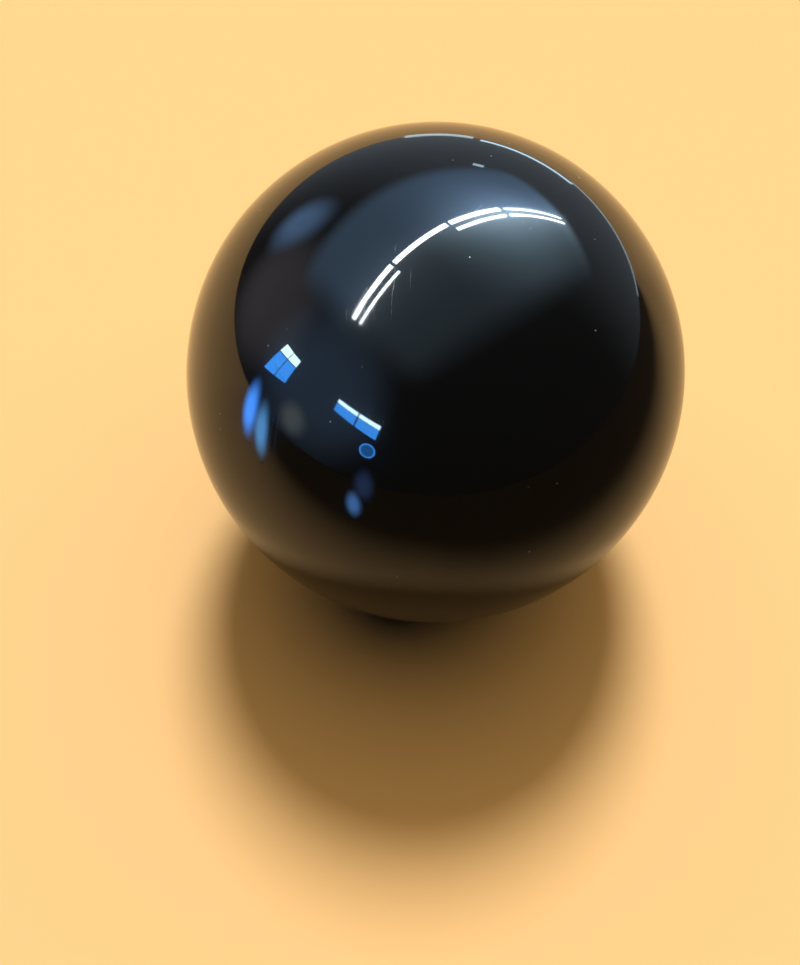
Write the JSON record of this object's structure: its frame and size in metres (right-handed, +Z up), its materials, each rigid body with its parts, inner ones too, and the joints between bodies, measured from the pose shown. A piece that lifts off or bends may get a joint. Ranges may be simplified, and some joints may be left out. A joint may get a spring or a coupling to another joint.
{
  "type": "billiard ball",
  "caption": "Plain solid ball of glossy black phenolic resin, struck by a cue or by another ball and rolling on a snooker or pool table.",
  "frame": {"origin": "centre of the ball", "axes": "+Z up, away from the surface that the ball rests on; +X and +Y are level and free, because the ball is the same in every direction"},
  "size_m": [0.0524, 0.0524, 0.0524],
  "materials": {
    "resin": "polished to a high gloss, dyed black right through, with fine hairlines from play"
  },
  "bodies": {
    "root": {"ball": "resin"}
  },
  "joints": []
}
